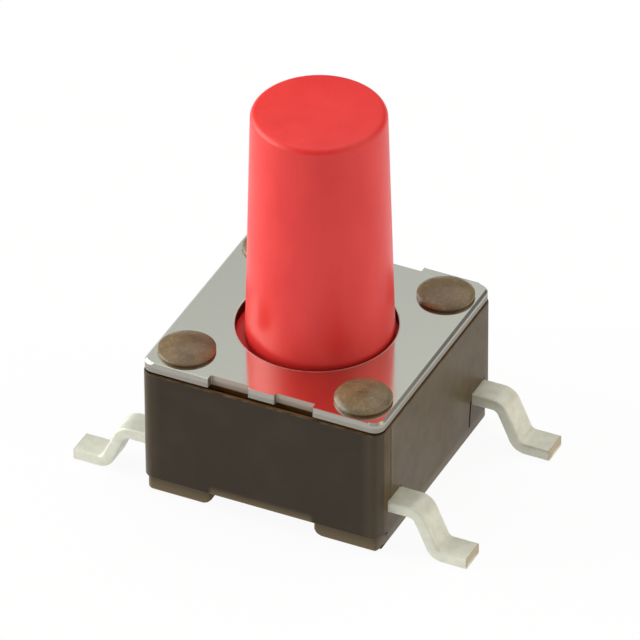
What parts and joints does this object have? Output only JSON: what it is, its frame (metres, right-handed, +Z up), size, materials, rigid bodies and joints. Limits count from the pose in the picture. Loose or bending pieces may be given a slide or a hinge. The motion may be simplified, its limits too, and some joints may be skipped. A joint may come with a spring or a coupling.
{
  "type": "surface-mount tactile push button switch",
  "caption": "Square moulded tactile switch with a tall tapered round stem, a staked steel cover and formed terminals for soldering flat to a board.",
  "frame": {"origin": "middle of the footprint on the board's surface, level with the undersides of the four terminal feet", "axes": "+X the way the terminals on one side point, +Y along the rows from the centre contact's terminals to the rim contact's, +Z up the stem"},
  "size_m": [0.0098, 0.006, 0.0095],
  "materials": {
    "housing_plastic": "glass-filled heat-resistant plastic, moulded satin, dark grey-brown",
    "cover_steel": "bright cold-rolled stainless strip, nearly mirror smooth, with sheared edges",
    "stem_plastic": "moulded satin, red",
    "dome_steel": "spring steel strip, plated",
    "tin_plate": "pale tin plate over brass strip, with bare brassy sheared ends"
  },
  "bodies": {
    "housing": {"base_housing": "housing_plastic", "cover_plate": "cover_steel", "snap_dome": "dome_steel", "centre_contact_frame": "tin_plate", "rim_contact_frame": "tin_plate"},
    "plunger": {"stem": "stem_plastic"}
  },
  "joints": [
    {"name": "stem_press", "type": "slide", "parent": "housing", "child": "plunger", "axis": [0, 0, -1], "range_m": [0, 0.00025], "stiffness_N_per_m": 10000, "deforming": ["snap_dome"]}
  ]
}
